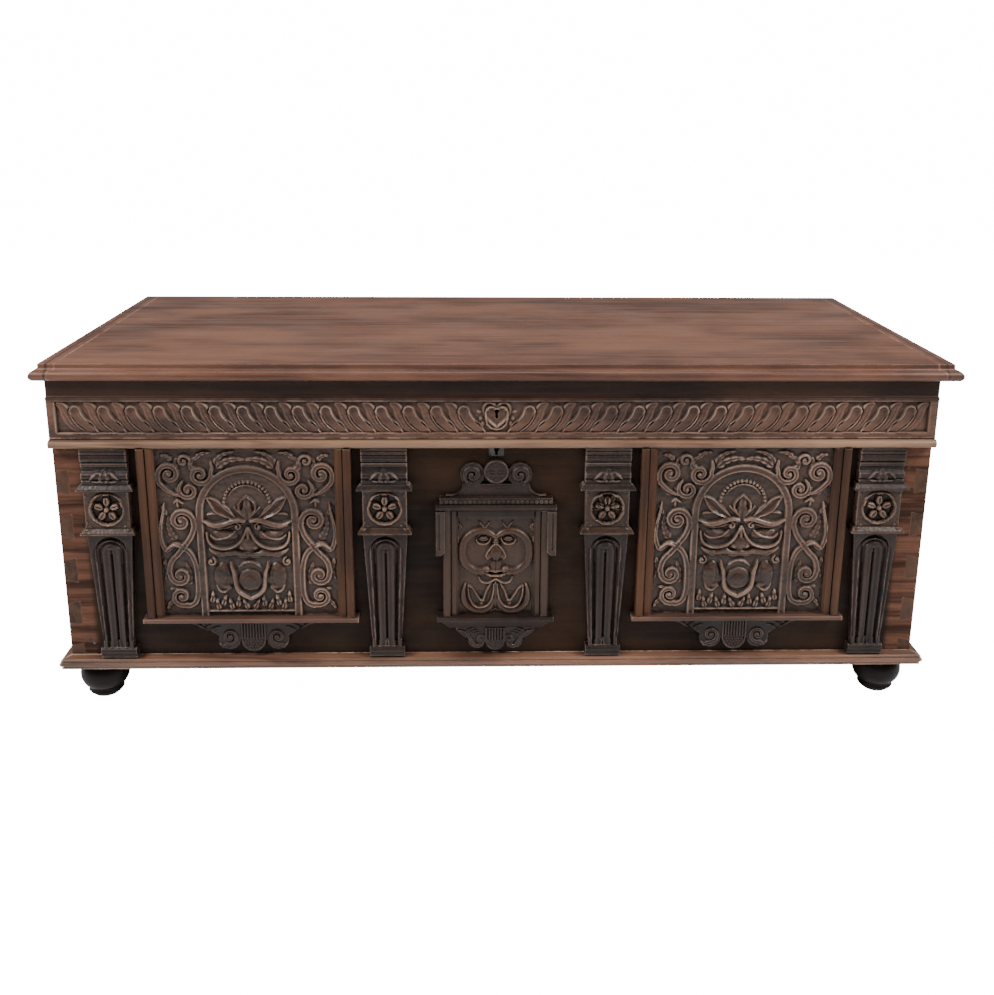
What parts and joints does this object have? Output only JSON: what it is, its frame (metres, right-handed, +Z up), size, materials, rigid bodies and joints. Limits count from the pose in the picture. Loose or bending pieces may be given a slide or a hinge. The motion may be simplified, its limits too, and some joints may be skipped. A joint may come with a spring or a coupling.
{
  "type": "carved chest",
  "caption": "Long low carved walnut chest with dovetailed boards, gadrooned frieze, tapered pilasters, carved arch panels, centre aedicule, bun feet and a hinged moulded lid.",
  "frame": {"origin": "on the floor, under the centre of the lid", "axes": "+X along the length, to the right as seen from the front; -Y towards the front; +Z up"},
  "size_m": [1.9, 0.8, 0.7683],
  "materials": {
    "lid_walnut": "waxed",
    "carcass_walnut": "waxed",
    "plinth_walnut": "waxed",
    "bead_walnut": "waxed",
    "carved_walnut": "waxed",
    "foot_wood": "waxed",
    "iron": "dark forged"
  },
  "bodies": {
    "chest": {"aedicule_apron": "carved_walnut", "aedicule_cornice": "carved_walnut", "aedicule_panel": "carved_walnut", "aedicule_pediment": "carved_walnut", "aedicule_sill": "carved_walnut", "aedicule_stile_left": "carved_walnut", "aedicule_stile_right": "carved_walnut", "back_board": "carcass_walnut", "bottom_board_front": "carcass_walnut", "bottom_board_rear": "carcass_walnut", "carved_panel_left": "carved_walnut", "carved_panel_right": "carved_walnut", "foot_front_left": "foot_wood", "foot_front_right": "foot_wood", "foot_rear_left": "foot_wood", "foot_rear_right": "foot_wood", "frieze_bead": "bead_walnut", "front_board": "carcass_walnut", "gadroon_frieze": "carved_walnut", "hinge_leaves": "iron", "hinge_pins": "iron", "lock_case": "iron", "lower_keyhole_plate": "iron", "panel_left_apron": "carved_walnut", "panel_left_sill": "carved_walnut", "panel_left_stile_a": "carved_walnut", "panel_left_stile_b": "carved_walnut", "panel_right_apron": "carved_walnut", "panel_right_sill": "carved_walnut", "panel_right_stile_a": "carved_walnut", "panel_right_stile_b": "carved_walnut", "pilaster_1_base": "carved_walnut", "pilaster_1_block": "carved_walnut", "pilaster_1_capital": "carved_walnut", "pilaster_1_shaft": "carved_walnut", "pilaster_2_base": "carved_walnut", "pilaster_2_block": "carved_walnut", "pilaster_2_capital": "carved_walnut", "pilaster_2_shaft": "carved_walnut", "pilaster_3_base": "carved_walnut", "pilaster_3_block": "carved_walnut", "pilaster_3_capital": "carved_walnut", "pilaster_3_shaft": "carved_walnut", "pilaster_4_base": "carved_walnut", "pilaster_4_block": "carved_walnut", "pilaster_4_capital": "carved_walnut", "pilaster_4_shaft": "carved_walnut", "plinth_front": "plinth_walnut", "plinth_left": "plinth_walnut", "plinth_right": "plinth_walnut", "side_board_left": "carcass_walnut", "side_board_right": "carcass_walnut", "upper_rail": "carcass_walnut"},
    "lid": {"lid_board_front": "lid_walnut", "lid_board_rear": "lid_walnut", "lid_cleat_left": "lid_walnut", "lid_cleat_right": "lid_walnut", "hinge_straps": "iron", "lid_hasp": "iron"},
    "lock_bolt": {"lock_bolt": "iron"}
  },
  "joints": [
    {"name": "lid_hinge", "type": "hinge", "parent": "chest", "child": "lid", "pos_m": [-0.008, 0.393, 0.7275], "axis": [-1, 0, 0], "range_deg": [0, 95]},
    {"name": "bolt_slide", "type": "slide", "parent": "chest", "child": "lock_bolt", "axis": [-1, 0, 0], "range_m": [0, 0.016]}
  ]
}
